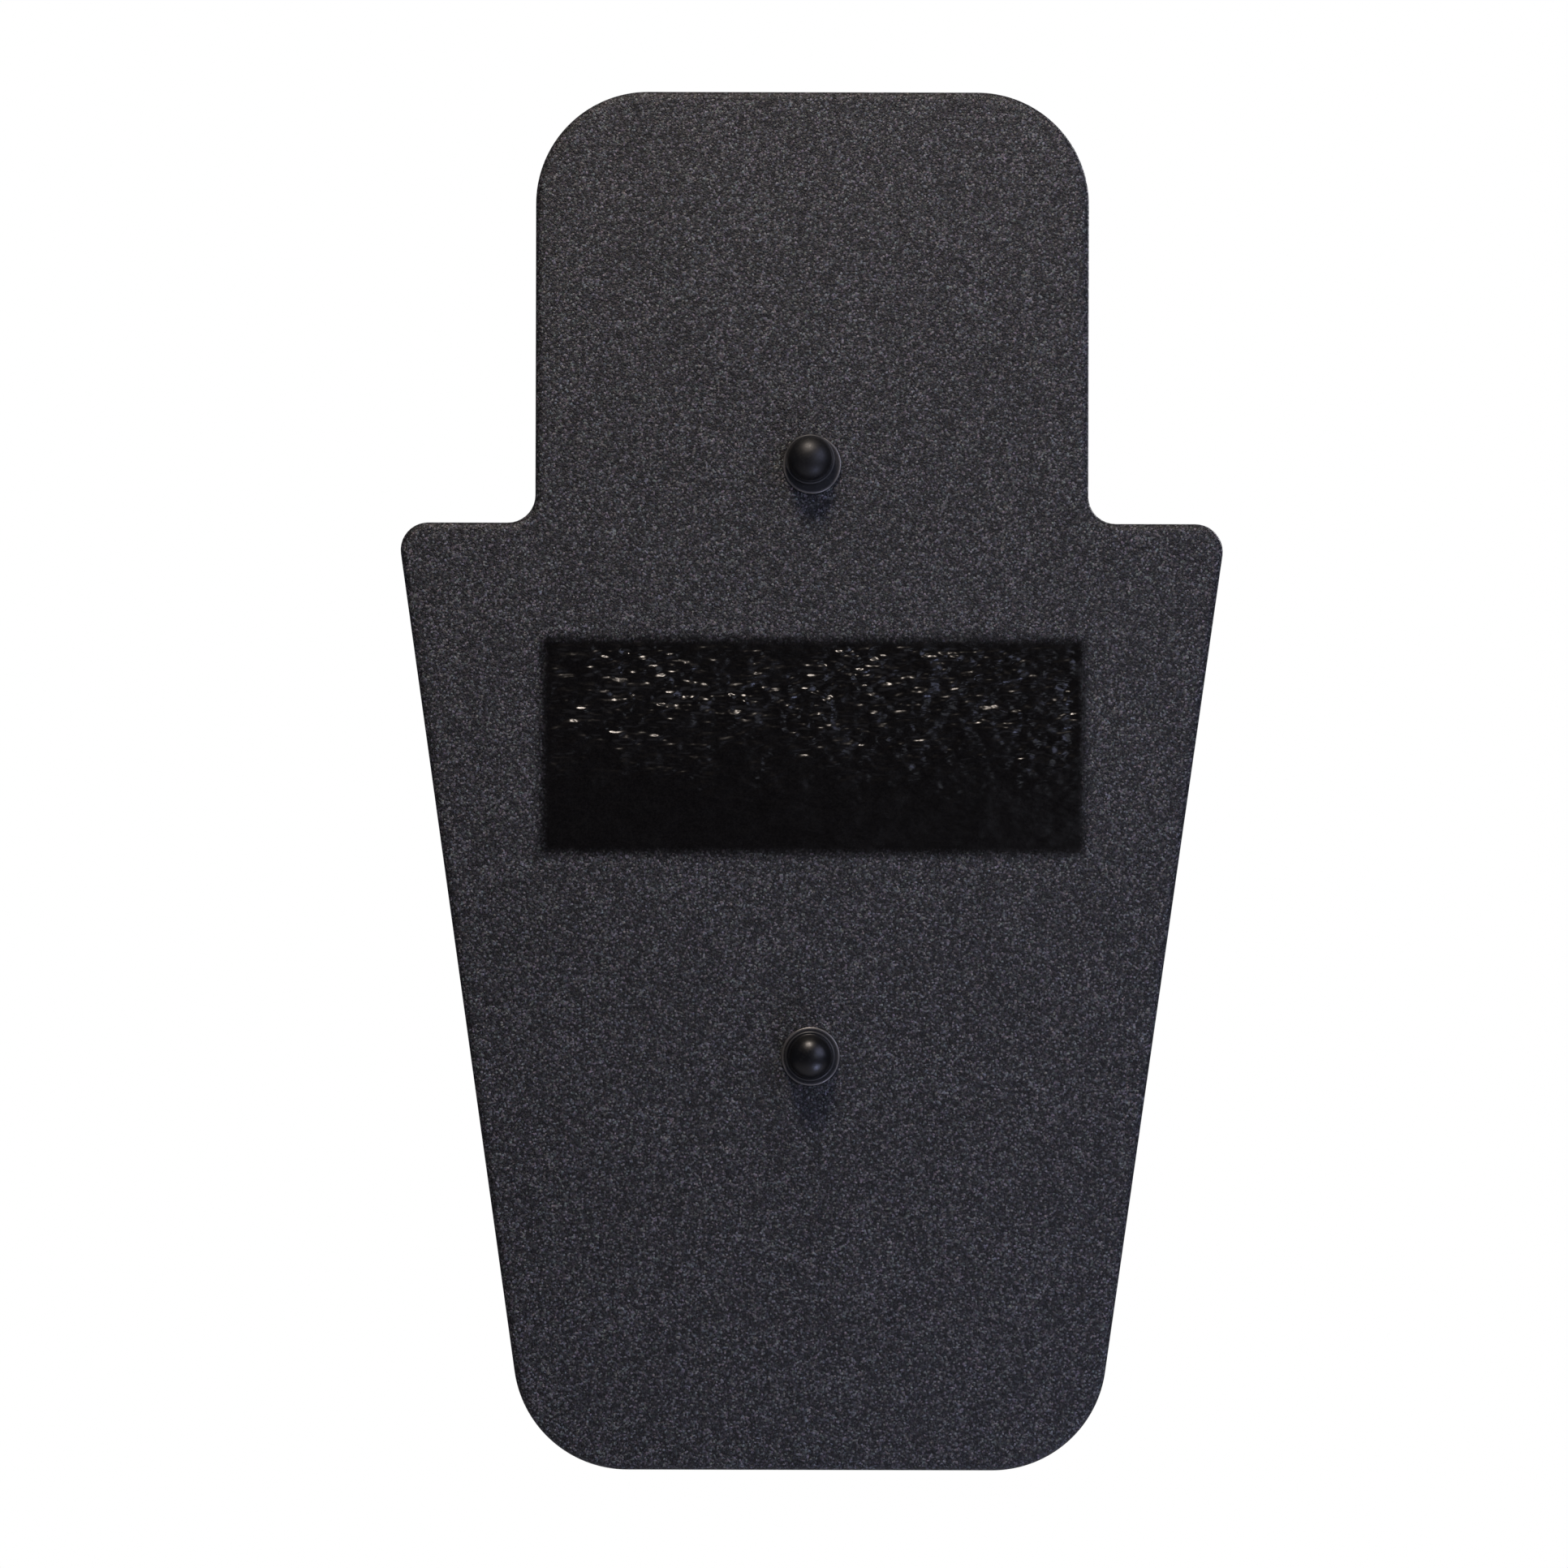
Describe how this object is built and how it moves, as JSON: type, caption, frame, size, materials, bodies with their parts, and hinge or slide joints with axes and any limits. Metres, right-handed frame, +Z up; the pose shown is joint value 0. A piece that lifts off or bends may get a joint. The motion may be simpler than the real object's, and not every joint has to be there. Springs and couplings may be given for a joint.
{
  "type": "wall punch pad",
  "caption": "Torso-shaped wall punch pad: a pebbled moulded skin over foam and a backing board, hung on coach screws under domed snap caps.",
  "frame": {"origin": "on the wall plane, at the back of the pad, midway between the two grommet holes", "axes": "+Z up along the pad's height, +Y into the wall, -Y the way the pad faces, +X to the right of someone facing the pad"},
  "size_m": [0.4174, 0.135, 0.7],
  "materials": {
    "skin": "fine pebbled, semi-matt charcoal",
    "panel": "gloss black, crinkled",
    "soft_foam": "open cell, cream",
    "firm_foam": "closed cell, dark grey",
    "plywood": "unfinished birch plywood",
    "rear_rubber": "matt black sheet",
    "black_steel": "gloss black coating",
    "zinc_steel": "bright zinc",
    "staple_wire": "galvanised wire",
    "cap_plastic": "semi-gloss black polyethylene",
    "plug_nylon": "grey nylon"
  },
  "bodies": {
    "pad": {"textured_skin": "skin", "chest_panel": "panel", "face_foam": "soft_foam", "core_foam": "firm_foam", "backing_board": "plywood", "rear_cover": "rear_rubber", "upper_grommet": "black_steel", "lower_grommet": "black_steel", "upper_grommet_washer": "zinc_steel", "lower_grommet_washer": "zinc_steel", "upper_screw_washer": "black_steel", "lower_screw_washer": "black_steel", "upper_coach_screw": "zinc_steel", "lower_coach_screw": "zinc_steel", "upper_wall_plug": "plug_nylon", "lower_wall_plug": "plug_nylon", "staple_01": "staple_wire", "staple_02": "staple_wire", "staple_03": "staple_wire", "staple_04": "staple_wire", "staple_05": "staple_wire", "staple_06": "staple_wire", "staple_07": "staple_wire", "staple_08": "staple_wire", "staple_09": "staple_wire", "staple_10": "staple_wire", "staple_11": "staple_wire", "staple_12": "staple_wire", "staple_13": "staple_wire", "staple_14": "staple_wire", "staple_15": "staple_wire", "staple_16": "staple_wire", "staple_17": "staple_wire", "staple_18": "staple_wire", "staple_19": "staple_wire", "staple_20": "staple_wire", "staple_21": "staple_wire", "staple_22": "staple_wire"},
    "upper_cap": {"upper_cap": "cap_plastic"},
    "lower_cap": {"lower_cap": "cap_plastic"}
  },
  "joints": [
    {"name": "upper_cap_pull", "type": "slide", "parent": "pad", "child": "upper_cap", "axis": [0, -1, 0], "range_m": [0, 0.03]},
    {"name": "lower_cap_pull", "type": "slide", "parent": "pad", "child": "lower_cap", "axis": [0, -1, 0], "range_m": [0, 0.03]}
  ]
}
